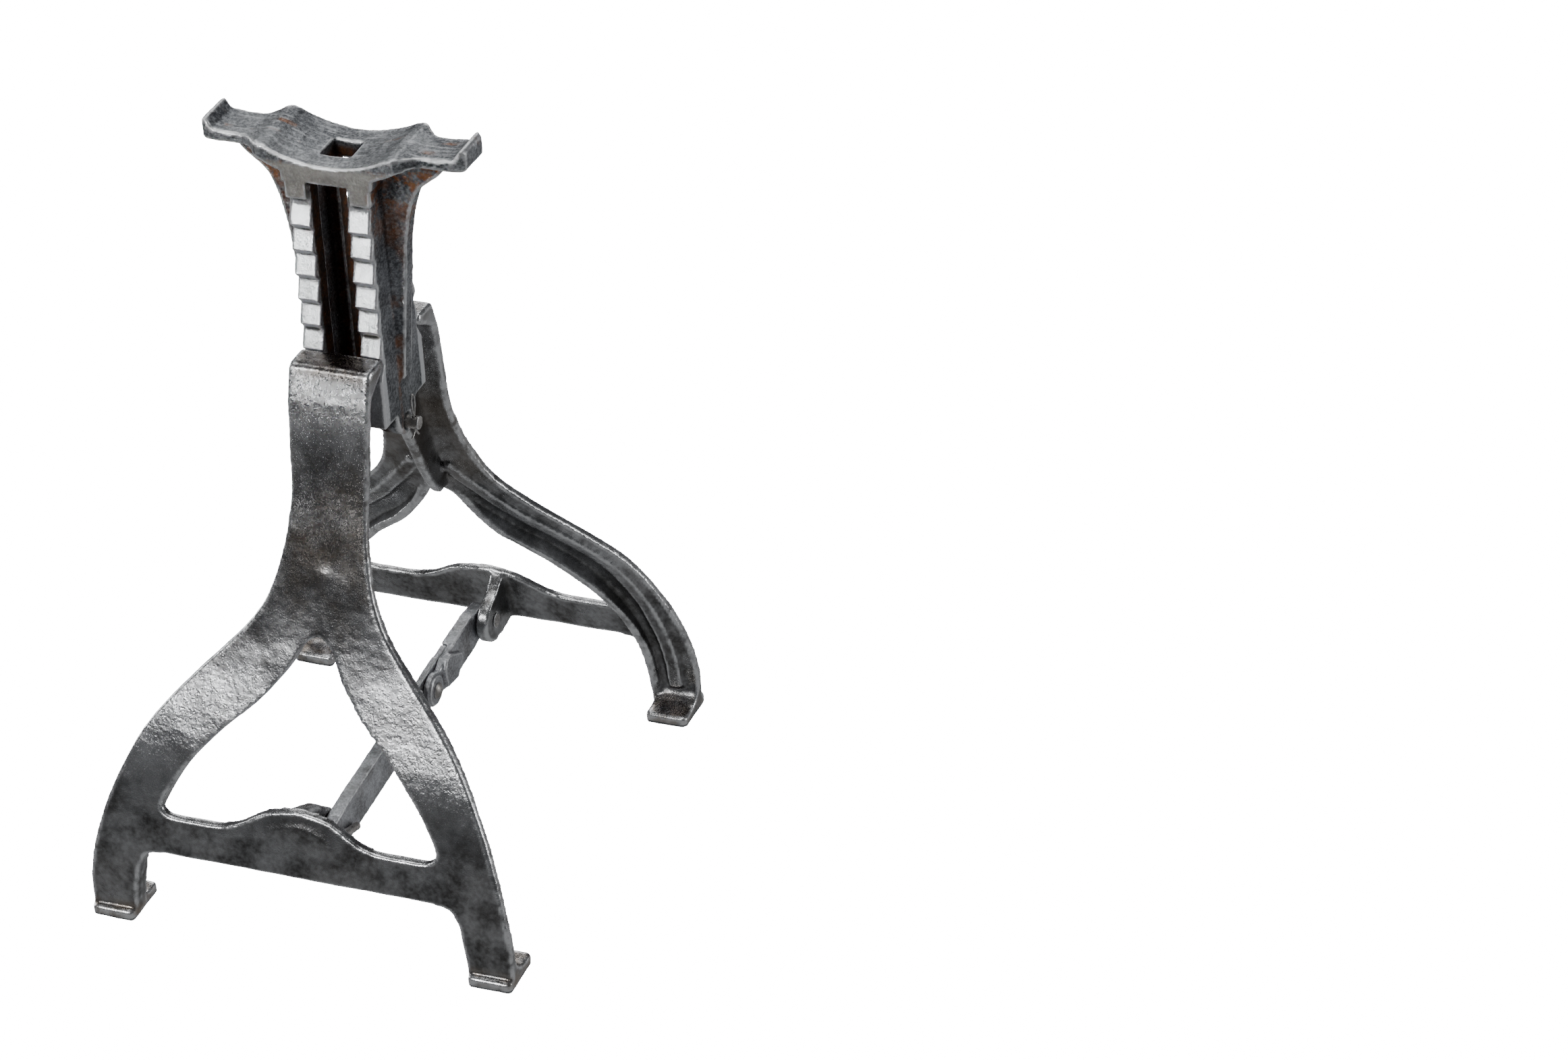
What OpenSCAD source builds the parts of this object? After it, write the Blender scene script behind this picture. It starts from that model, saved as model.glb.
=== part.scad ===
// Folding axle stand: a toothed column with a cradle on top, held between two hooked A-frame legs
// that pivot on one hidden pin and are locked apart by a folding stay.
// Millimetres. Origin on the floor under the column, +X along the cradle, -Y towards the front leg.

/* [Column] */
// Distance from one tooth to the next
rack_pitch = 15.875; // [15.5:0.125:16]
// Height of the lowest tooth tip, which rests on the leg hooks
rack_z = 329.5; // [327:0.5:331]
// Half depth of the column over the tooth tips
rack_tip = 26.6; // [26:0.1:27]
// How far a tooth stands out from its root
tooth_depth = 4; // [3.5:0.1:4.2]
// Half width of the column over its cheeks
cheek_x = 24.6; // [24:0.1:25]
// Half width of the open slot between the cheeks
slot_x = 11.3; // [11.1:0.1:11.6]
// Height of the bottom edge of the cheeks
cheek_z = 284; // [282:1:286]

/* [Cradle] */
// Half length of the cradle over its end lips
cradle_x = 80.4; // [78:0.2:82]
// Half depth of the cradle's wide middle
cradle_y = 25; // [24.5:0.1:25]
// Half depth of the cradle's wings
wing_y = 14; // [12:0.5:16]
// Height of the crests on each side of the hollow
crest_z = 456.4; // [455:0.2:458]
// Height of the lowest point of the hollow
hollow_z = 446.7; // [445:0.2:448]
// Side of the square hole through the cradle
square_hole = 18.8; // [16:0.2:20]

/* [Legs] */
// Height of the hidden pivot of the two legs
hinge_z = 289; // [288.5:0.1:289.5]
// Thickness of the leg plate
plate_t = 6; // [5.5:0.25:6.5]
// Half spread of the feet, front to back
foot_y = 157.4; // [156:0.2:159]
// Thickness of the foot pads
foot_t = 6.8; // [6:0.2:8]
// Thickness of the pivot ear and its web
ear_t = 6.5; // [6:0.1:6.6]

/* [Stay] */
// Height of the stay bars
bar_h = 24; // [22:0.5:24]
// Thickness of the stay bars
bar_t = 8; // [7:0.2:8]
// Distance of the front stay pin from the middle of the stand
front_pin_y = 97; // [96.5:0.1:97.5]
// Height of the front stay pin
front_pin_z = 45.5; // [45:0.1:46]
// Distance of the back stay pin from the middle of the stand
back_pin_y = 119; // [118.5:0.1:119.5]
// Height of the back stay pin
back_pin_z = 61; // [60.5:0.1:61.5]
// Distance of the knee rivet from the middle of the stand
knee_y = 44; // [43.5:0.1:44.5]

/* [Pins] */
// Diameter of the stop pin through the column's lobes
stop_pin_d = 8; // [7.5:0.1:8]
// Diameter of the legs' pivot pin
hinge_pin_d = 9; // [8:0.5:9.5]
// Diameter of the three stay pins
stay_pin_d = 7; // [6:0.5:7]

/* [Hidden] */
$fn = 48;
eps = 0.01;
fit = 0.05;                       // radial clearance of a pin in its bore
notches = 6;
tab_z = rack_z + notches * rack_pitch;
rack_root = rack_tip - tooth_depth;
cheek_y = 28.6;
lobe_r = 13;
lobe_z = cheek_z - 4;
stop_pin_z = lobe_z - 6;
eye_r = 10;
rib_t = 10;
lug_gap = 0.7;                    // between a bar and the lug beside it
lug_t = 8;
lug_r = 14;
tail = 32;                        // reach of the long bar past the knee
lap_t = bar_t / 2 - 0.15;
stay_slope = atan2(back_pin_z - front_pin_z, back_pin_y + front_pin_y);
knee_z = front_pin_z + (knee_y + front_pin_y) * tan(stay_slope);

// ---- curves ----------------------------------------------------------------------------------

// A smooth curve through the points p, with n steps from each to the next
function curve(p, n) = concat(
    [for (i = [0:len(p) - 2], j = [0:n - 1])
        bend(p[max(i - 1, 0)], p[i], p[i + 1], p[min(i + 2, len(p) - 1)], j / n)],
    [p[len(p) - 1]]
);
function bend(a, b, c, d, t) =
    0.5 * (2 * b + (c - a) * t + (2 * a - 5 * b + 4 * c - d) * t * t + (3 * b - a - 3 * c + d) * t * t * t);
// The curve p moved sideways by d, to the left of its direction
function aside(p, d) = [for (i = [0:len(p) - 1])
    let (v = p[min(i + 1, len(p) - 1)] - p[max(i - 1, 0)], m = norm(v))
    p[i] + [-v[1], v[0]] * d / m];
function back_to_front(p) = [for (i = [len(p) - 1:-1:0]) p[i]];
// The half outline p in the first column, closed by its mirror image
function both_sides(p) = concat(p,
    [for (i = [len(p) - 1:-1:0]) if (abs(p[i][0]) > 0.001) [-p[i][0], p[i][1]]]);
function arc(c, r, a0, a1, n) = [for (i = [0:n])
    let (a = a0 + (a1 - a0) * i / n) c + r * [cos(a), sin(a)]];

// Stands an XY drawing up in the YZ plane, with thickness t from x
module side_slab(x, t) {
    translate([x, 0, 0]) rotate([90, 0, 90]) linear_extrude(t) children();
}
// Stands an XY drawing up in the XZ plane, from y towards +Y by t
module front_slab(y, t) {
    translate([0, y + t, 0]) rotate([90, 0, 0]) linear_extrude(t) children();
}
module x_rod(x, t, y, z, d) {
    translate([x, y, z]) rotate([0, 90, 0]) cylinder(d = d, h = t);
}

// ---- column ----------------------------------------------------------------------------------

// One edge of a cheek, from the bottom up: a plain foot, then a tooth at every notch
rack_edge = concat(
    [[cheek_y, cheek_z], [cheek_y, rack_z - 14]],
    [for (k = [0:notches - 1]) each [
        [rack_root, rack_z - tooth_depth + k * rack_pitch],
        [rack_tip, rack_z + k * rack_pitch]]],
    [[rack_root, tab_z - tooth_depth], [rack_root, 440]]
);

module cheek(x) {
    difference() {
        side_slab(x, cheek_x - slot_x) {
            polygon(both_sides(rack_edge));
            translate([0, lobe_z]) circle(lobe_r);
            translate([-lobe_r, lobe_z]) square([2 * lobe_r, 8]);
        }
        // the wall between the rails is thinner
        translate([0, -12, 302]) cube([slot_x + 6.8, 24, 130]);
        translate([-slot_x - 6.8, -12, 302]) cube([slot_x + 6.8, 24, 130]);
        x_rod(x - 1, 16, 0, stop_pin_z, stop_pin_d + 2 * fit);
        // flared mouth of the pin hole
        translate([sign(x) * (cheek_x - 2.4), 0, stop_pin_z]) rotate([0, sign(x) * 90, 0])
            cylinder(d1 = stop_pin_d, d2 = stop_pin_d + 4, h = 2.4 + eps);
    }
}

// Centre rib of a cheek, flaring into a corbel under the wing
module corbel_rib() {
    front_slab(-rib_t / 2, rib_t)
        polygon(concat(
            [[cheek_x - 1, 303], [cheek_x + 1, 303.4], [27.5, 306]],
            curve([[34, 371], [36, 391], [38, 403], [40.2, 414], [44.4, 425.6], [49, 431.4],
                [55.5, 436.6], [61, 441.6], [66, 449]], 3),
            [[66, 451], [cheek_x - 1, 451]]));
}

module cradle() {
    hollow_r = (38 * 38 + pow(crest_z - hollow_z, 2)) / (2 * (crest_z - hollow_z));
    top = concat(
        [for (x = [0:4:36]) [x, hollow_z + hollow_r - sqrt(hollow_r * hollow_r - x * x)]],
        curve([[39, crest_z - 0.4], [42, crest_z], [46, crest_z - 0.9], [52, crest_z - 1.6],
            [66, crest_z - 1.4], [73, crest_z - 0.6], [75, crest_z + 2], [76.6, crest_z + 4.6],
            [78.6, crest_z + 4.8],
            [cradle_x, crest_z + 2.4], [cradle_x, crest_z - 5.4], [78, crest_z - 8], [60, crest_z - 8.3],
            [44, crest_z - 8.6], [36, crest_z - 11.8], [28, crest_z - 15]], 3),
        [[27.6, hollow_z - 11.2], [0, hollow_z - 11.2]]);
    plan = curve([[0, cradle_y], [36, cradle_y], [42, cradle_y - 0.8], [46.5, cradle_y - 5.5],
        [52, wing_y + 0.6], [60, wing_y], [74, wing_y], [79, wing_y - 1.6], [81, wing_y - 5], [81, 0]], 3);
    difference() {
        intersection() {
            front_slab(-30, 60) polygon(both_sides(top));
            translate([0, 0, 430]) linear_extrude(40) {
                polygon(both_sides(plan));
                mirror([0, 1]) polygon(both_sides(plan));
            }
        }
        translate([-square_hole / 2, -square_hole / 2, 425]) cube([square_hole, square_hole, 40]);
    }
}

module column() {
    color("#8d9094") {
        cheek(slot_x);
        cheek(-cheek_x);
        corbel_rib();
        mirror([1, 0, 0]) corbel_rib();
        cradle();
        // square tabs between the cradle's edge and the racks, on all four rails
        for (sx = [-1, 1], sy = [-1, 1])
            scale([sx, sy, 1]) translate([13, 18, tab_z]) cube([13.2, 7, 13.2]);
    }
}

// ---- legs ------------------------------------------------------------------------------------

// Outer face of a leg from the side, top to bottom: distance from the middle, height
leg_side = [[44.5, 326], [50.6, 309], [54.5, 287], [58.8, 262], [65.5, 240], [77.5, 210], [91, 180],
    [108, 150], [126, 120], [136.5, 95], [145, 70], [150.4, 45], [152.4, 22], [152.4, 0]];
// Half outline of a leg from the front, top to bottom: half width, height
leg_front = [[25.4, 330], [24.9, 318], [24.3, 275], [23.9, 245], [27.8, 216], [37, 190], [54, 169.5],
    [75, 149], [96, 126], [109, 105], [118.5, 84], [125.3, 65], [131, 43], [133.7, 25], [134, 0]];
// Half outline of the window between the limbs, from its top to the bump of the cross bar
leg_window = [[0, 178.4], [8.5, 173], [18, 157.5], [32.5, 141], [51, 125.5], [68.5, 107], [80.6, 90],
    [86.8, 78], [82, 72.3], [66, 71.6], [50, 72], [38, 75], [22, 83.6], [8, 87], [0, 87.5]];
// Inner edge of a limb below the cross bar
limb_inner = [[106, 0], [105.4, 10], [103.6, 25], [101, 38], [95, 46.5], [84, 48.5]];

outer_face = curve(leg_side, 3);
inner_face = aside(outer_face, -plate_t);
window_edge = curve(leg_window, 3);
limb_edge = curve(leg_front, 3);
// Middle line of a limb, for its rib
limb_line = curve([[10, 200], [26, 181], [46, 159], [72, 137], [93, 112], [105, 88], [112, 66], [117, 44],
    [120, 16]], 3);
// Inner edge of a limb from the crotch down to the foot, for its rim
rim_line = curve(concat([for (i = [0:6]) leg_window[i] + [2, 1.4]],
    [[91.6, 74], [97, 60], [101.6, 44], [104.8, 25], [107.4, 4]]), 3);
// How far the rim stands in from the plate at each height
rim_depth = [[0, 4], [40, 5], [85, 9], [114, 12], [150, 11], [164, 7], [176, 3.5], [200, 3.5]];

// The leg's curved plate, from depth d0 to d1 inwards of its outer face
module leg_band(d0, d1) {
    side_slab(-140, 280)
        polygon(concat(aside(outer_face, -d0), back_to_front(aside(outer_face, -d1))));
}

// The space behind the plate that the rim fills
module rim_band() {
    deep = [for (i = [0:len(outer_face) - 1])
        let (v = outer_face[min(i + 1, len(outer_face) - 1)] - outer_face[max(i - 1, 0)],
            d = plate_t + lookup(outer_face[i][1], rim_depth))
        outer_face[i] + [v[1], -v[0]] * d / norm(v)];
    side_slab(-140, 280) polygon(concat(aside(outer_face, 3 - plate_t), back_to_front(deep)));
}

module leg_outline() {
    difference() {
        polygon(both_sides(concat(limb_edge, [[106, 0]], curve(limb_inner, 3), [[0, 48.5]])));
        polygon(both_sides(window_edge));
    }
}

module strip(line, w) {
    polygon(concat(aside(line, w / 2), back_to_front(aside(line, -w / 2))));
}

// Hook at the top of a leg, which turns in under a tooth
module hook() {
    side_slab(-25.2, 50.4)
        polygon(concat(
            [[rack_tip - 2.6, rack_z - 3.1], [rack_tip + 0.2, rack_z - 0.3], [40.6, rack_z - 0.3]],
            arc([40.6, rack_z - 5.3], 5, 80, 15, 5),
            [[50.8, 309], [51.5, 300], [46.2, 296]],
            curve([[48.3, 302], [46.6, 308.5], [42, 313.4], [33, 319]], 3),
            [[rack_tip - 1, rack_z - 6.4]]));
}

// Web in the middle plane that carries the pivot ear
module ear_web() {
    x = 0.15;
    difference() {
        side_slab(x, ear_t) {
            translate([0, hinge_z]) circle(eye_r);
            polygon(concat(
                [[-2, hinge_z + eye_r - 0.2], [20, 301], [36, 306.5], [44, 311], [49, 306]],
                [for (p = inner_face) if (p[1] < 304 && p[1] > 182) p + [2, 0]],
                [[91, 180]],
                curve([[72, 180], [60, 194.5], [40, 233], [24, 263.5], [13, 278], [5, hinge_z - 8.8]], 3)));
        }
        x_rod(x - 1, ear_t + 2, 0, hinge_z, hinge_pin_d + 2 * fit);
    }
}

// Lug on the cross bar that takes one end of the stay, on the near side of the bar
module lug(py, pz, top) {
    translate([bar_t / 2 + lug_gap, 0, 0]) difference() {
        side_slab(0, lug_t) {
            translate([py, pz]) circle(lug_r);
            polygon(concat([[py - 8, pz + 11]], top,
                [[138.5, 82], [147, 50], [py + 10, min(pz - 13.4, 47)], [py, pz - 13.6]]));
        }
        x_rod(-1, lug_t + 2, py, pz, stay_pin_d + 2 * fit);
    }
}

module foot(s) {
    x0 = 106.4;
    x1 = 133.6;
    c = 3;
    linear_extrude(foot_t) scale([s, 1])
        polygon(concat(
            arc([x0 + c, foot_y - 33.7 + c], c, 180, 270, 4),
            arc([x1 - c, foot_y - 33.7 + c], c, 270, 360, 4),
            arc([x1 - c, foot_y - c], c, 0, 90, 4),
            arc([x0 + c, foot_y - c], c, 90, 180, 4)));
    // fillet between the pad and the plate
    translate([s > 0 ? x0 : -x1, 0, 0]) side_slab(0, x1 - x0)
        polygon(concat([[149, foot_t - 1], [149, 20]],
            arc([146.6 - 13, foot_t + 13], 13, 0, -90, 6), [[133.6, foot_t - 1]]));
}

// One leg, standing at the back; the front one is the same casting turned round
module leg(py, pz, lug_top) {
    intersection() {
        leg_band(0, plate_t);
        front_slab(30, 140) leg_outline();
    }
    hook();
    ear_web();
    lug(py, pz, lug_top);
    for (s = [-1, 1]) {
        foot(s);
        // rim along the inner edge and rib along the limb, on the inner side
        intersection() {
            rim_band();
            front_slab(30, 140) scale([s, 1]) strip(rim_line, 5.6);
        }
        intersection() {
            leg_band(plate_t - 2, plate_t + 4);
            front_slab(30, 140) scale([s, 1]) strip(limb_line, 9);
        }
    }
    // plain raised arc on the cross bar and dot on the neck
    intersection() {
        leg_band(-0.8, 2);
        front_slab(30, 140) {
            translate([0, 41]) intersection() {
                difference() {
                    circle(39);
                    circle(36.4);
                }
                translate([-21, 20]) square([42, 30]);
            }
            translate([0, 211]) circle(3);
        }
    }
}

module back_leg() {
    color("#6f7174") leg(back_pin_y, back_pin_z, [[116, 75.5], [124, 79], [134, 86]]);
}

module front_leg() {
    color("#6f7174") rotate([0, 0, 180])
        leg(front_pin_y, front_pin_z, [[97, 63], [103, 68.5], [110, 72], [134, 84]]);
}

// ---- pins ------------------------------------------------------------------------------------

// Pivot of the two legs, hidden between the cheeks
module hinge_pin() {
    color("#77756f") {
        x_rod(-10.4, 20.8, 0, hinge_z, hinge_pin_d);
        for (x = [-10.4, 7.4]) x_rod(x, 3, 0, hinge_z, 14);
    }
}

module stop_pin() {
    color("#9a9893") difference() {
        union() {
            x_rod(-cheek_x - 3, 2 * cheek_x + 10.4, 0, stop_pin_z, stop_pin_d);
            x_rod(-cheek_x - 3.2, 3.2, 0, stop_pin_z, 13);
        }
        translate([cheek_x + 4, 0, stop_pin_z - 6]) cylinder(d = 2.6, h = 12);
    }
}

// Split pin: a long eye above, a shank through the pin, and its two bent ends below
module stop_pin_cotter() {
    wire = 1.6;
    eye_w = 4.6;
    color("#a5a39c") translate([cheek_x + 4, 0, stop_pin_z]) {
        translate([0, 0, -5.6]) cylinder(d = 2.4, h = 11.4);
        side_slab(-wire / 2, wire) {
            difference() {
                union() {
                    polygon([[-1, 5], [1, 5], [eye_w / 2, 8], [eye_w / 2, 17],
                        [-eye_w / 2, 17], [-eye_w / 2, 8]]);
                    translate([0, 17]) circle(d = eye_w, $fn = 24);
                }
                polygon([[0, 6.6], [eye_w / 2 - wire, 9], [eye_w / 2 - wire, 17],
                    [wire - eye_w / 2, 17], [wire - eye_w / 2, 9]]);
                translate([0, 17]) circle(d = eye_w - 2 * wire, $fn = 24);
            }
            polygon([[0.9, -4.8], [4.8, -10.6], [3.5, -11.5], [0, -6.4],
                [-5.4, -8.8], [-6.1, -7.3], [-0.9, -4.8]]);
        }
    }
}

// ---- stay ------------------------------------------------------------------------------------

// The long bar, from the front lug to past the knee, where its near half is cut away
module stay_long_bar() {
    len = norm([knee_y + front_pin_y, knee_z - front_pin_z]);
    color("#7f8286") translate([0, -front_pin_y, front_pin_z]) rotate([stay_slope, 0, 0])
        difference() {
            union() {
                side_slab(-bar_t / 2, bar_t) {
                    circle(10.5);
                    polygon([[0, -10.5], [14, -bar_h / 2], [len - 16, -bar_h / 2], [len - 16, bar_h / 2],
                        [14, bar_h / 2], [0, 10.5]]);
                }
                side_slab(-bar_t / 2, lap_t)
                    polygon(concat([[len - 20, -bar_h / 2], [len + 8, -bar_h / 2 + 1]],
                        arc([len, 0], tail, -19, 20, 6),
                        [[len + 18, bar_h / 2 - 1], [len + 16, bar_h / 2], [len - 20, bar_h / 2]]));
            }
            // round seat for the end of the short bar
            x_rod(0, bar_t, len, 0, 2 * 13);
            x_rod(-bar_t, 2 * bar_t, 0, 0, stay_pin_d + 2 * fit);
            x_rod(-bar_t, 2 * bar_t, len, 0, stay_pin_d + 2 * fit);
        }
}

// The short bar, from the knee to the back lug, with a raised block and boss on its near side
module stay_short_bar() {
    len = norm([back_pin_y - knee_y, back_pin_z - knee_z]);
    color("#7f8286") translate([0, knee_y, knee_z]) rotate([stay_slope, 0, 0])
        difference() {
            union() {
                side_slab(0.15, lap_t) {
                    circle(10.5);
                    polygon([[0, -10.5], [10, -8], [20, -bar_h / 2], [40, -bar_h / 2], [40, bar_h / 2 - 0.3],
                        [16, bar_h / 2 - 0.6], [9, 8], [0, 10.5]]);
                }
                side_slab(-bar_t / 2, bar_t) {
                    translate([len, 0]) circle(9);
                    polygon(concat(arc([0, 0], tail + 1, -21, 21, 6), [[len - 16, bar_h / 2 - 0.2], [len, 9],
                        [len, -9], [len - 16, -bar_h / 2 + 0.2]]));
                }
                side_slab(2, 5)
                    polygon([[11, 7], [16, 12], [21, 12], [36, 3], [36.5, -1], [28, -10], [13, -7]]);
                x_rod(2, 3.4, 0, 0, 19);
            }
            x_rod(-bar_t, 2 * bar_t + 4, 0, 0, stay_pin_d + 2 * fit);
            x_rod(-bar_t, 2 * bar_t, len, 0, stay_pin_d + 2 * fit);
        }
}

module domed_head(x, y, z, d, s) {
    h = 3;
    translate([x, y, z]) rotate([0, 90 * s, 0]) intersection() {
        r = (d * d / 4 + h * h) / (2 * h);
        translate([0, 0, h - r]) sphere(r);
        cylinder(d = d + 1, h = h + 1);
    }
}

module knee_rivet() {
    color("#8b8780") {
        x_rod(-bar_t / 2 - 0.2, bar_t + 1.7, knee_y, knee_z, stay_pin_d);
        domed_head(5.4, knee_y, knee_z, 11, 1);
        domed_head(-bar_t / 2 - 0.1, knee_y, knee_z, 12, -1);
    }
}

// Headed on the far side of the lug, with its near end bent over along the bar
module front_stay_pin() {
    far = bar_t / 2 + lug_gap + lug_t;
    near = bar_t / 2 + 3.2;
    color("#8b8780") {
        x_rod(-far - 0.1, far + near, -front_pin_y, front_pin_z, stay_pin_d);
        domed_head(-far - 0.1, -front_pin_y, front_pin_z, 11, -1);
        translate([near - 0.3, -front_pin_y - 1.5, front_pin_z + 0.6]) rotate([-106, 0, 0])
            cylinder(d = 5, h = 18);
    }
}

// The half of the back pin that stays in the lug; the linkage is open between the two halves
module back_stay_pin() {
    start = bar_t / 2 + lug_gap - 0.2;
    color("#8b8780") {
        x_rod(start, lug_t + 0.5, back_pin_y, back_pin_z, stay_pin_d);
        x_rod(start + lug_t + 0.25, 0.8, back_pin_y, back_pin_z, 9.5);
    }
}

// The half of the back pin that stays in the short bar
module back_stay_pin_head() {
    color("#8b8780") {
        x_rod(-bar_t / 2 - 0.2, bar_t + 0.2, back_pin_y, back_pin_z, stay_pin_d);
        domed_head(-bar_t / 2 - 0.1, back_pin_y, back_pin_z, 12, -1);
    }
}

column();
front_leg();
back_leg();
hinge_pin();
stop_pin();
stop_pin_cotter();
stay_long_bar();
stay_short_bar();
knee_rivet();
front_stay_pin();
back_stay_pin();
back_stay_pin_head();
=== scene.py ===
# Looks of the folding axle stand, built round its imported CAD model. Lengths are in metres.
import math

import bpy
import numpy as np
from mathutils import Matrix, Vector, noise


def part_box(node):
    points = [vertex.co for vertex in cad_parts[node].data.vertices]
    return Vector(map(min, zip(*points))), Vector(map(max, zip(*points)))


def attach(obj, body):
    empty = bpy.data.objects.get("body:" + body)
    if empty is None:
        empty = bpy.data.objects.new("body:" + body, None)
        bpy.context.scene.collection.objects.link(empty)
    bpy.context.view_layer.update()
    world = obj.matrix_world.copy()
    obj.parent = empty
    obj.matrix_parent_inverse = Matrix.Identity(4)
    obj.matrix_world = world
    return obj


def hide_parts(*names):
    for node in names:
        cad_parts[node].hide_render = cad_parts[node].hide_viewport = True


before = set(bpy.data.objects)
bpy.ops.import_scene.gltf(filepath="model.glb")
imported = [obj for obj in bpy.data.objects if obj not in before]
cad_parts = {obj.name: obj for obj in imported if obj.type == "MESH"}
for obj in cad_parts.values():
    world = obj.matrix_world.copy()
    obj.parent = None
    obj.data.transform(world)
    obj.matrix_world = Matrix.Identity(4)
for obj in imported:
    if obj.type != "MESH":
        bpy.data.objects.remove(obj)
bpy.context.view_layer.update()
MM = 0.001


# ---- camera, floor and light -------------------------------------------------------------------

CAMERA_AT = Vector((1.0900, -2.1398, 1.6729))
VIEW_DIRECTION = Vector((-0.30916, 0.79025, -0.52908))
VIEW_ROLL = 0.047
LENS_MM = 110.4


def make_camera():
    data = bpy.data.cameras.new("camera")
    data.sensor_width = 36
    data.lens = LENS_MM
    data.clip_end = 50
    camera = bpy.data.objects.new("camera", data)
    level = VIEW_DIRECTION.cross(Vector((0, 0, 1))).normalized()
    up = level.cross(VIEW_DIRECTION)
    side = math.cos(VIEW_ROLL) * level - math.sin(VIEW_ROLL) * up
    top = math.sin(VIEW_ROLL) * level + math.cos(VIEW_ROLL) * up
    turn = Matrix((side, top, -VIEW_DIRECTION)).transposed().to_4x4()
    camera.matrix_world = Matrix.Translation(CAMERA_AT) @ turn
    bpy.context.scene.collection.objects.link(camera)
    bpy.context.scene.camera = camera


def area_light(name, place, target, size, power):
    data = bpy.data.lights.new(name, "AREA")
    data.shape = "RECTANGLE"
    data.size, data.size_y = size
    data.energy = power
    lamp = bpy.data.objects.new(name, data)
    lamp.location = place
    lamp.rotation_euler = (Vector(target) - Vector(place)).to_track_quat("-Z", "Y").to_euler()
    bpy.context.scene.collection.objects.link(lamp)
    return lamp


def make_world():
    """Dim all round, for the metal to reflect, and white where the camera sees it."""
    world = bpy.data.worlds.new("studio")
    world.use_nodes = True
    tree = world.node_tree
    dim = tree.nodes["Background"]
    dim.inputs["Color"].default_value = (0.93, 0.96, 1.0, 1)
    dim.inputs["Strength"].default_value = 0.11
    white = tree.nodes.new("ShaderNodeBackground")
    white.inputs["Strength"].default_value = 20.0
    either = tree.nodes.new("ShaderNodeMixShader")
    path = tree.nodes.new("ShaderNodeLightPath")
    tree.links.new(path.outputs["Is Camera Ray"], either.inputs[0])
    tree.links.new(dim.outputs[0], either.inputs[1])
    tree.links.new(white.outputs[0], either.inputs[2])
    tree.links.new(either.outputs[0], tree.nodes["World Output"].inputs["Surface"])
    bpy.context.scene.world = world


def make_studio():
    make_world()
    half = 6  # metres from the middle of the floor to its edge
    mesh = bpy.data.meshes.new("floor")
    corners = [(-half, -half, 0), (half, -half, 0), (half, half, 0), (-half, half, 0)]
    mesh.from_pydata(corners, [], [(0, 1, 2, 3)])
    floor = bpy.data.objects.new("floor", mesh)
    bpy.context.scene.collection.objects.link(floor)
    floor.data.materials.append(floor_material())
    floor.visible_glossy = False

    middle = (0, 0, 0.22)
    area_light("front_bank", (-0.9, -2.3, 1.95), middle, (1.1, 0.42), 42)
    # a narrow beam on the racks only
    rack_glow = area_light("rack_glow", (-0.75, -2.2, 0.60), (0, 0, 0.43), (0.6, 0.16), 0.10)
    rack_glow.data.spread = math.radians(9)
    area_light("overhead", (-0.3, 0.5, 2.3), middle, (1.3, 0.8), 20)
    area_light("left_strip", (-2.4, 0.2, 0.9), middle, (0.4, 1.6), 20)
    area_light("right_strip", (2.3, 0.9, 0.8), middle, (0.30, 1.5), 16)
    area_light("back_bank", (-0.9, 2.3, 1.2), middle, (1.0, 0.5), 8)
    # stands for the white floor in the metal's reflections
    floor_glow = area_light("floor_glow", (0, 0, 0.002), (0, 0, 1), (3, 3), 5.5)
    floor_glow.visible_camera = False


# ---- materials ---------------------------------------------------------------------------------


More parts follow.
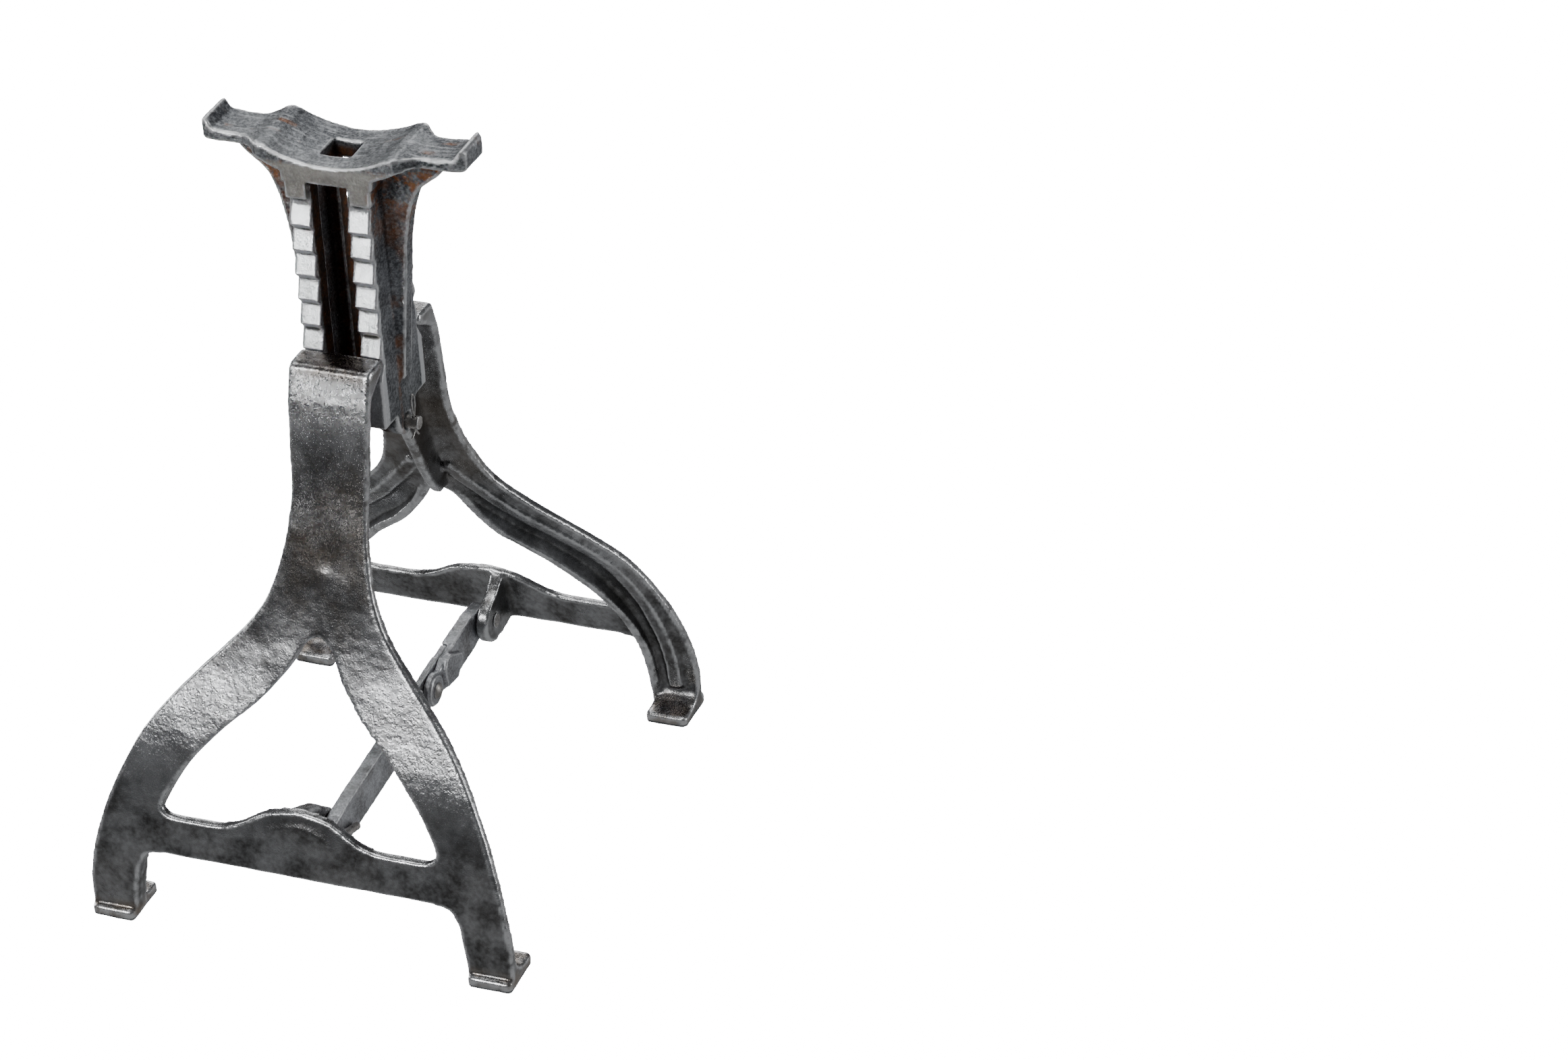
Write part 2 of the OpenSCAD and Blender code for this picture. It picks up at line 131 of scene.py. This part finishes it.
class Shade:
    """A material built by small calls; a socket is given either a constant or a link."""

    def __init__(self, name):
        self.material = bpy.data.materials.new(name)
        self.material.use_nodes = True
        self.tree = self.material.node_tree
        self.surface = self.tree.nodes["Principled BSDF"]
        self.place = self.node("ShaderNodeTexCoord").outputs["Object"]
        self.xyz = self.node("ShaderNodeSeparateXYZ", {"Vector": self.place}).outputs

    def node(self, kind, values=None, **settings):
        made = self.tree.nodes.new(kind)
        for key, value in settings.items():
            setattr(made, key, value)
        for key, value in (values or {}).items():
            self.put(made.inputs[key], value)
        return made

    def put(self, socket, value):
        if isinstance(value, bpy.types.NodeSocket):
            self.tree.links.new(value, socket)
        else:
            socket.default_value = value

    def noise(self, scale, detail=3.0, rough=0.55, stretch=None):
        place = self.place
        if stretch:
            place = self.node("ShaderNodeMapping", {"Vector": place, "Scale": stretch}).outputs[0]
        values = {"Vector": place, "Scale": scale, "Detail": detail, "Roughness": rough}
        return self.node("ShaderNodeTexNoise", values).outputs["Fac"]

    def span(self, value, low, high, out_low=0.0, out_high=1.0):
        values = {"Value": value, "From Min": low, "From Max": high, "To Min": out_low, "To Max": out_high}
        return self.node("ShaderNodeMapRange", values, interpolation_type="SMOOTHSTEP").outputs[0]

    def math(self, operation, a, b=0.0):
        return self.node("ShaderNodeMath", {0: a, 1: b}, operation=operation).outputs[0]

    def times(self, a, b):
        return self.math("MULTIPLY", a, b)

    def plus(self, a, b):
        return self.math("ADD", a, b)

    def either(self, a, b):
        return self.math("MAXIMUM", a, b)

    def minus(self, a, b):
        return self.math("SUBTRACT", a, b)

    def blend(self, share, a, b):
        made = self.node("ShaderNodeMix", data_type="RGBA")
        self.put(made.inputs[0], share)
        for socket, value in ((made.inputs[6], a), (made.inputs[7], b)):
            self.put(socket, value if isinstance(value, bpy.types.NodeSocket) else (*value, 1))
        return made.outputs[2]

    def attribute(self, name):
        return self.node("ShaderNodeAttribute", attribute_name=name).outputs["Fac"]

    def bump(self, height, depth, strength):
        values = {"Height": height, "Distance": depth, "Strength": strength}
        return self.node("ShaderNodeBump", values).outputs[0]

    def finish(self, colour, rough, normal, metallic=1.0):
        self.put(self.surface.inputs["Base Color"], colour)
        self.put(self.surface.inputs["Roughness"], rough)
        self.put(self.surface.inputs["Normal"], normal)
        self.surface.inputs["Metallic"].default_value = metallic
        return self.material


def floor_material():
    shade = Shade("white_floor")
    tint = shade.blend(shade.noise(3.0, 1.0), (0.93, 0.93, 0.93), (0.95, 0.95, 0.95))
    shade.put(shade.surface.inputs["Base Color"], tint)
    shade.surface.inputs["Roughness"].default_value = 0.9
    shade.surface.inputs["Emission Color"].default_value = (1, 1, 1, 1)
    shade.surface.inputs["Emission Strength"].default_value = 16.0
    return shade.material


DARK_IRON = (0.055, 0.055, 0.056)
LIGHT_IRON = (0.66, 0.67, 0.69)
# BRIGHT_IRON paints the edges: worn metal and a painted highlight along them
BRIGHT_IRON = (0.80, 0.81, 0.82)
BROWN_IRON = (0.15, 0.125, 0.10)
RUST = (0.30, 0.115, 0.035)
# near-black brown between the cheeks: dark rust with painted shade
RUST_AND_SHADE = (0.055, 0.030, 0.020)


def leg_iron():
    """Burnished casting, wrinkled like orange peel, brown on the hook's crown and the neck, with painted
    highlight bands on the limbs' swell and the nape, painted shade in the hollows and edges painted bright
    for wear and a painted highlight.
    """
    shade = Shade("leg_iron")
    z = shade.xyz["Z"]
    blotch = shade.span(shade.noise(48.0, 3.0, 0.55), 0.34, 0.66)
    grain = shade.span(shade.noise(330.0, 3.0, 0.60), 0.30, 0.72)
    silver = shade.plus(0.02, shade.plus(shade.times(blotch, 0.34), shade.times(grain, 0.20)))
    # painted highlight: lighter bands on the limbs' swell and on the nape under the hook's crown
    swell = shade.times(shade.span(z, 0.084, 0.118), shade.span(z, 0.170, 0.140))
    nape_highlight = shade.times(shade.span(z, 0.270, 0.300), shade.span(z, 0.328, 0.320))
    silver = shade.plus(silver, shade.times(shade.either(swell, nape_highlight), 0.34))
    colour = shade.blend(silver, DARK_IRON, LIGHT_IRON)
    neck = shade.times(shade.span(z, 0.165, 0.215), shade.span(z, 0.295, 0.245))
    crown = shade.span(z, 0.318, 0.326)
    brown = shade.either(shade.times(neck, 0.35), shade.times(crown, 0.5))
    brown = shade.plus(brown, 0.10)
    brown = shade.times(brown, shade.span(shade.noise(19.0, 4.0, 0.6), 0.36, 0.66, 0.35, 1.5))
    colour = shade.blend(brown, colour, BROWN_IRON)
    soles = shade.times(shade.span(z, 0.014, 0.006), shade.span(shade.noise(90.0, 4.0), 0.35, 0.6, 0.1, 0.6))
    colour = shade.blend(soles, colour, (0.40, 0.33, 0.27))
    # edges painted bright: worn metal and a painted highlight
    wear_and_painted_light = shade.times(shade.attribute("edge"), shade.span(shade.noise(140.0, 3.0), 0.30, 0.6, 0.15, 0.85))
    colour = shade.blend(wear_and_painted_light, colour, BRIGHT_IRON)
    # painted shade: darker in the hollows, which are also made rougher
    hollow_shade = shade.times(shade.attribute("hollow"), 0.85)
    colour = shade.blend(hollow_shade, colour, (0.030, 0.026, 0.023))
    rough = shade.plus(shade.span(grain, 0.0, 1.0, 0.30, 0.22), shade.times(hollow_shade, 0.2))
    wrinkle = shade.either(swell, shade.times(shade.span(z, 0.275, 0.300), 0.6))
    coarse = shade.times(shade.noise(420.0, 3.0, 0.6), shade.span(wrinkle, 0.0, 1.0, 0.35, 1.0))
    peel = shade.plus(coarse, shade.times(shade.noise(1100.0, 2.0, 0.6), 0.30))
    return shade.finish(colour, rough, shade.bump(peel, 0.0005, 0.7))


def column_iron():
    """Smoother blue-gray casting, scratched along the cradle, rusty and painted dark with shade between the
    cheeks, with painted shade in the hollows and edges painted bright for wear and a painted highlight.
    """
    shade = Shade("column_iron")
    x, y, z = shade.xyz["X"], shade.xyz["Y"], shade.xyz["Z"]
    away = shade.math("ABSOLUTE", x)
    deep = shade.math("ABSOLUTE", y)
    blotch = shade.span(shade.noise(34.0, 4.0, 0.6), 0.32, 0.70)
    grain = shade.span(shade.noise(520.0, 3.0, 0.7), 0.38, 0.64)
    scratches = shade.span(shade.noise(300.0, 2.0, 0.5, (0.05, 1.0, 1.0)), 0.52, 0.66)
    uneven = shade.plus(shade.times(blotch, 0.32), shade.times(shade.minus(grain, 0.5), 0.30))
    silver = shade.plus(0.10, uneven)
    rack = shade.times(shade.span(deep, 0.0215, 0.0235), shade.span(z, 0.428, 0.420))
    silver = shade.plus(silver, shade.times(rack, 0.75))
    colour = shade.blend(silver, (0.075, 0.08, 0.088), (0.64, 0.66, 0.69))
    colour = shade.blend(shade.times(rack, 0.6), colour, (0.86, 0.87, 0.89))
    scratched = shade.times(scratches, shade.span(z, 0.444, 0.448, 0.0, 0.35))
    colour = shade.blend(scratched, colour, (0.72, 0.74, 0.77))
    # rust and painted shade: the channel between the cheeks is painted near-black brown, with patches of
    # lighter rust
    inside = shade.times(shade.span(away, 0.0200, 0.0150), shade.span(deep, 0.0240, 0.0200))
    inside = shade.times(inside, shade.span(z, 0.445, 0.440))
    colour = shade.blend(shade.times(inside, 0.90), colour, RUST_AND_SHADE)
    glow = shade.times(inside, shade.span(shade.noise(70.0, 4.0, 0.7), 0.42, 0.66))
    colour = shade.blend(shade.times(glow, 0.55), colour, RUST)
    under = shade.times(shade.span(z, 0.385, 0.432), shade.span(z, 0.450, 0.446))
    stain = shade.times(under, shade.span(shade.noise(85.0, 5.0, 0.72), 0.46, 0.60))
    root = shade.times(shade.span(deep, 0.0095, 0.0065), shade.span(deep, 0.0040, 0.0055))
    stain = shade.either(stain, shade.times(root, shade.span(shade.noise(60.0, 4.0), 0.46, 0.62, 0.0, 0.7)))
    colour = shade.blend(shade.times(stain, shade.span(away, 0.022, 0.025, 0.0, 0.75)), colour, RUST)
    tabs = shade.times(shade.span(deep, 0.0225, 0.0238), shade.span(z, 0.420, 0.428))
    tabs = shade.times(tabs, shade.span(z, 0.449, 0.445, 0.0, 0.75))
    colour = shade.blend(tabs, colour, (0.44, 0.42, 0.39))
    # edges painted bright: worn metal and a painted highlight
    wear_and_painted_light = shade.times(shade.attribute("edge"), shade.span(shade.noise(110.0, 3.0), 0.25, 0.6, 0.35, 0.95))
    colour = shade.blend(wear_and_painted_light, colour, BRIGHT_IRON)
    # painted shade: darker in the hollows, under the rack teeth among them
    colour = shade.blend(shade.times(shade.attribute("hollow"), 0.85), colour, (0.030, 0.027, 0.026))
    rough = shade.plus(shade.span(silver, 0.0, 0.9, 0.52, 0.34), shade.times(inside, 0.30))
    fine = shade.plus(shade.noise(340.0, 3.0, 0.6), shade.times(shade.noise(1100.0, 2.0), 0.3))
    return shade.finish(colour, rough, shade.bump(fine, 0.0005, 0.7))


def plain_iron(name, dark, light, brown_share):
    """Small forged and cast pieces: even gray, with painted shade in the hollows, and edges painted bright
    for wear and a painted highlight.
    """
    shade = Shade(name)
    blotch = shade.span(shade.noise(60.0, 4.0, 0.6), 0.32, 0.70)
    grain = shade.span(shade.noise(600.0, 3.0, 0.7), 0.36, 0.66)
    silver = shade.plus(shade.times(blotch, 0.55), shade.times(grain, 0.35))
    colour = shade.blend(silver, dark, light)
    brown = shade.times(shade.span(shade.noise(48.0, 3.0), 0.48, 0.66), brown_share)
    colour = shade.blend(brown, colour, BROWN_IRON)
    # edges painted bright (worn metal and a painted highlight), hollows darker (painted shade)
    colour = shade.blend(shade.times(shade.attribute("edge"), 0.75), colour, BRIGHT_IRON)
    colour = shade.blend(shade.times(shade.attribute("hollow"), 0.8), colour, (0.035, 0.030, 0.027))
    rough = shade.span(grain, 0.0, 1.0, 0.50, 0.34)
    return shade.finish(colour, rough, shade.bump(shade.noise(420.0, 4.0, 0.6), 0.0004, 0.7))


# ---- cast surfaces -----------------------------------------------------------------------------


class Skin:
    """The vertices of a closed mesh with quick neighbour averages and normals."""

    def __init__(self, mesh):
        self.mesh = mesh
        count = len(mesh.vertices)
        flat = np.empty(count * 3)
        mesh.vertices.foreach_get("co", flat)
        self.co = flat.reshape(-1, 3)
        pairs = np.empty(len(mesh.edges) * 2, int)
        mesh.edges.foreach_get("vertices", pairs)
        self.a, self.b = pairs.reshape(-1, 2).T
        self.count = count
        self.degree = np.bincount(self.a, minlength=count) + np.bincount(self.b, minlength=count)

    def mean(self, values):
        """Each vertex's average over its neighbours."""
        out = np.empty_like(values)
        for k in range(values.shape[1]):
            total = np.bincount(self.a, values[self.b, k], self.count)
            total += np.bincount(self.b, values[self.a, k], self.count)
            out[:, k] = total / self.degree
        return out

    def normals(self):
        self.store()
        flat = np.empty(self.count * 3)
        self.mesh.vertices.foreach_get("normal", flat)
        return flat.reshape(-1, 3)

    def store(self):
        self.mesh.vertices.foreach_set("co", self.co.ravel())
        self.mesh.update()

    def soften(self, rounds, weight=0.5):
        for _ in range(rounds):
            self.co += weight * (self.mean(self.co) - self.co)

    def fill_corners(self, rounds, share=1.0):
        """Grows a fillet in every inner corner and leaves the outer edges as they are."""
        for step in range(rounds):
            if step % 6 == 0:
                normal = self.normals()
            move = self.mean(self.co) - self.co
            rise = np.einsum("ij,ij->i", move, normal)
            self.co += (0.6 * share * np.where(rise > 0, rise, 0))[:, None] * normal

    def relief(self, rounds):
        """How far each vertex stands above (or below) the surface round about it."""
        smooth = self.co.copy()
        for _ in range(rounds):
            smooth += 0.6 * (self.mean(smooth) - smooth)
        return np.einsum("ij,ij->i", self.co - smooth, self.normals())

    def roughen(self, size, depth, share=None):
        """Pushes the surface in and out by smooth noise of that grain size."""
        normal = self.normals()
        lumps = np.array([noise.noise(Vector(p) / size) for p in self.co])
        if share is not None:
            lumps *= share
        self.co += (depth * lumps)[:, None] * normal

    def keep_within(self, low, high):
        self.co = np.clip(self.co, low, high)

    def tag(self, name, values):
        layer = self.mesh.attributes.new(name, "FLOAT", "POINT")
        layer.data.foreach_set("value", np.clip(values, 0, 1).astype(np.float32))


def remeshed(node, voxel):
    """A copy of a CAD node's surface as an even mesh of small squares."""
    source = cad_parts[node]
    work = bpy.data.objects.new("work", source.data.copy())
    bpy.context.scene.collection.objects.link(work)
    skin = work.modifiers.new("even", "REMESH")
    skin.mode = "VOXEL"
    skin.voxel_size = voxel
    skin.use_smooth_shade = True
    ready = work.evaluated_get(bpy.context.evaluated_depsgraph_get())
    mesh = bpy.data.meshes.new_from_object(ready)
    bpy.data.objects.remove(work)
    mesh.materials.clear()
    return mesh


def cast(node, body, material, voxel, fillets, soft, lumps, wear_and_painted_light):
    """Stands for a CAD node: its shape with cast fillets, rounded edges and a lumpy skin."""
    mesh = remeshed(node, voxel)
    mesh.name = node + "_cast"
    skin = Skin(mesh)
    for rounds, where in fillets:
        skin.fill_corners(rounds, where(*skin.co.T))
    skin.soften(soft)
    for size, depth in lumps:
        skin.roughen(size, depth)
    skin.keep_within(*(np.array(corner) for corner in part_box(node)))
    # edge marks convex relief, painted bright later as wear and painted highlight; hollow marks concave
    # relief, painted dark later as painted shade
    step = skin.relief(wear_and_painted_light["rounds"])
    skin.tag("edge", (step - wear_and_painted_light["edge"]) / wear_and_painted_light["edge"])
    skin.tag("hollow", (-step - wear_and_painted_light["hollow"]) / (1.6 * wear_and_painted_light["hollow"]))
    skin.store()
    mesh.polygons.foreach_set("use_smooth", np.ones(len(mesh.polygons), bool))
    piece = bpy.data.objects.new(node + "_cast", mesh)
    bpy.context.scene.collection.objects.link(piece)
    mesh.materials.append(material)
    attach(piece, body)
    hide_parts(node)
    return piece


def wire(name, points, radius, material):
    """A round wire along a smooth line through the points, with flat caps on its ends."""
    data = bpy.data.curves.new(name, "CURVE")
    data.dimensions = "3D"
    data.bevel_depth = radius
    data.bevel_resolution = 4
    data.use_fill_caps = True
    line = data.splines.new("BEZIER")
    line.bezier_points.add(len(points) - 1)
    for knot, place in zip(line.bezier_points, points):
        knot.co = place
        knot.handle_left_type = knot.handle_right_type = "AUTO"
    line.resolution_u = 8
    work = bpy.data.objects.new("work", data)
    bpy.context.scene.collection.objects.link(work)
    ready = work.evaluated_get(bpy.context.evaluated_depsgraph_get())
    mesh = bpy.data.meshes.new_from_object(ready)
    bpy.data.objects.remove(work)
    mesh.name = name
    mesh.polygons.foreach_set("use_smooth", np.ones(len(mesh.polygons), bool))
    mesh.materials.clear()
    mesh.materials.append(material)
    piece = bpy.data.objects.new(name, mesh)
    bpy.context.scene.collection.objects.link(piece)
    return piece


def make_cotter(material):
    """Split pin of half-round wire doubled on itself: one long eye above and two bent ends below."""
    low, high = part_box("stop_pin_cotter")
    pin_low, pin_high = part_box("stop_pin")
    x = (low.x + high.x) / 2
    z = (pin_low.z + pin_high.z) / 2
    half = 0.6 * MM
    route = [
        (0, -5.2, -8.3), (0, -2.6, -7.0), (0, -0.7, -4.8), (0, -0.6, 0), (0, -0.6, 5.0),
        (0, -1.3, 8.0), (0, -1.7, 12.0), (0, -1.5, 16.6), (0, 0.0, 18.4), (0, 1.5, 16.6),
        (0, 1.7, 12.0), (0, 1.3, 8.0), (0, 0.6, 5.0), (0, 0.6, 0), (0, 0.7, -4.8), (0, 2.2, -7.6),
        (0, 4.2, -10.2)]
    points = [Vector((x, 0, z)) + MM * Vector(p) for p in route]
    piece = wire("stop_pin_cotter_wire", points, half, material)
    skin = Skin(piece.data)
    # a quarter of the edge mark all over: worn metal and a painted highlight
    skin.tag("edge", np.full(skin.count, 0.25))
    skin.tag("hollow", np.zeros(skin.count))
    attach(piece, "column")
    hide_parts("stop_pin_cotter")


def ramp(value, low, high):
    return np.clip((value - low) / (high - low), 0, 1)


def everywhere(x, y, z):
    return np.ones(len(x))


def near_web(x, y, z):
    """Round the web of a leg, where it grows out of the neck and the crotch."""
    return ramp(np.abs(x), 28 * MM, 20 * MM) * ramp(z, 158 * MM, 172 * MM) * ramp(z, 312 * MM, 300 * MM)


def near_rib(x, y, z):
    """Beside the centre rib of the column and under its wings."""
    return ramp(np.abs(x), 23.8 * MM, 24.6 * MM)


def between_rails(x, y, z):
    return ramp(np.abs(y), 20 * MM, 14 * MM)


def make_castings():
    legs = leg_iron()
    # relief thresholds of the edge mark (wear and painted highlight) and the hollow mark (painted shade)
    wear_and_light = {"rounds": 14, "edge": 0.22 * MM, "hollow": 0.22 * MM}
    lumps = [(18 * MM, 0.35 * MM), (4.0 * MM, 0.10 * MM)]
    for side in ("front", "back"):
        cast(f"{side}_leg", f"{side}_leg", legs, 1.15 * MM,
             [(22, everywhere), (70, near_web)], 3, lumps, wear_and_light)
    cast("column", "column", column_iron(), 0.88 * MM,
         [(6, between_rails), (60, near_rib)], 1, [(14 * MM, 0.35 * MM), (3.0 * MM, 0.12 * MM)],
         {"rounds": 12, "edge": 0.16 * MM, "hollow": 0.12 * MM})
    stay = plain_iron("stay_iron", (0.24, 0.245, 0.255), (0.68, 0.70, 0.73), 0.20)
    small_wear_and_light = {"rounds": 10, "edge": 0.10 * MM, "hollow": 0.10 * MM}
    for node in ("stay_long", "stay_short"):
        cast(node + "_bar", node, stay, 0.55 * MM, [(8, everywhere)], 3,
             [(9 * MM, 0.25 * MM), (2.4 * MM, 0.10 * MM)], small_wear_and_light)


def make_pins():
    steel = plain_iron("pin_steel", (0.22, 0.21, 0.20), (0.78, 0.76, 0.73), 0.25)
    # relief thresholds of the edge mark (wear and painted highlight) and the hollow mark (painted shade)
    wear_and_light = {"rounds": 8, "edge": 0.07 * MM, "hollow": 0.09 * MM}
    homes = {
        "hinge_pin": "pivot", "stop_pin": "column", "knee_rivet": "stay_long",
        "front_stay_pin": "front_leg", "back_stay_pin": "back_leg", "back_stay_pin_head": "stay_short"}
    for node, body in homes.items():
        cast(node, body, steel, 0.38 * MM, [], 2, [(4 * MM, 0.16 * MM)], wear_and_light)
    make_cotter(steel)


make_camera()
make_studio()
make_castings()
make_pins()
